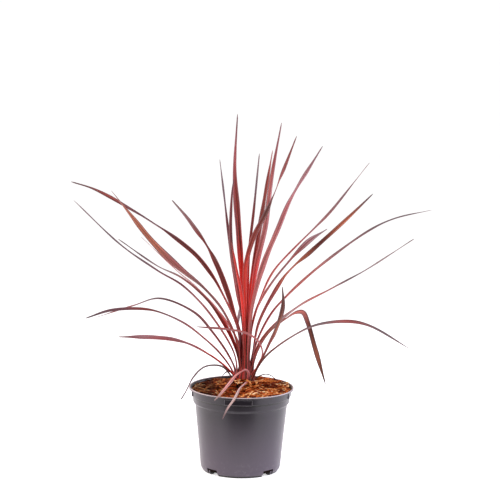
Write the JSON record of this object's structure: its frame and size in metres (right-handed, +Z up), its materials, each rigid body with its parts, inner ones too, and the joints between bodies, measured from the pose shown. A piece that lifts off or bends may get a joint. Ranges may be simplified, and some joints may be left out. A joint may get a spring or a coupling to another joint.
{
  "type": "potted cabbage tree",
  "caption": "Young red-leaved cabbage tree: a fountain of long narrow strap leaves on a short stem, in a round nursery pot with bark mulch.",
  "frame": {"origin": "middle of the pot's foot, on the surface that the pot stands on", "axes": "+Z up along the pot's axis; the side seen in the picture faces -Y, and +X is to its right"},
  "size_m": [0.602, 0.5244, 0.574],
  "materials": {
    "pot_plastic": "moulded recycled polypropylene, satin dark grey",
    "compost": "damp peat-free compost, matt",
    "bark": "shredded bark and coir fibre, orange brown, matt",
    "stem": "soft young stem wrapped in old leaf bases",
    "leaf_maroon": "waxy leaf, dark maroon with greyish edges",
    "leaf_red": "waxy young leaf, bright red",
    "leaf_rose": "waxy leaf underside, dusty rose",
    "leaf_bronze": "waxy leaf, brown bronze"
  },
  "bodies": {
    "root": {"pot": "pot_plastic", "compost": "compost", "bark_mulch": "bark", "stem": "stem", "leaf_01": "leaf_rose", "leaf_02": "leaf_rose", "leaf_03": "leaf_bronze", "leaf_04": "leaf_bronze", "leaf_05": "leaf_red", "leaf_06": "leaf_rose", "leaf_07": "leaf_bronze", "leaf_08": "leaf_bronze", "leaf_09": "leaf_maroon", "leaf_10": "leaf_maroon", "leaf_11": "leaf_maroon", "leaf_12": "leaf_maroon", "leaf_13": "leaf_red", "leaf_14": "leaf_rose", "leaf_15": "leaf_rose", "leaf_16": "leaf_rose", "leaf_17": "leaf_maroon", "leaf_18": "leaf_rose", "leaf_19": "leaf_maroon", "leaf_20": "leaf_bronze", "leaf_21": "leaf_rose", "leaf_22": "leaf_maroon", "leaf_23": "leaf_maroon", "leaf_24": "leaf_red", "leaf_25": "leaf_maroon", "leaf_26": "leaf_rose", "leaf_27": "leaf_maroon", "leaf_28": "leaf_rose", "leaf_29": "leaf_red", "leaf_30": "leaf_maroon", "leaf_31": "leaf_rose", "leaf_32": "leaf_maroon", "leaf_33": "leaf_bronze", "leaf_34": "leaf_red"}
  },
  "joints": []
}
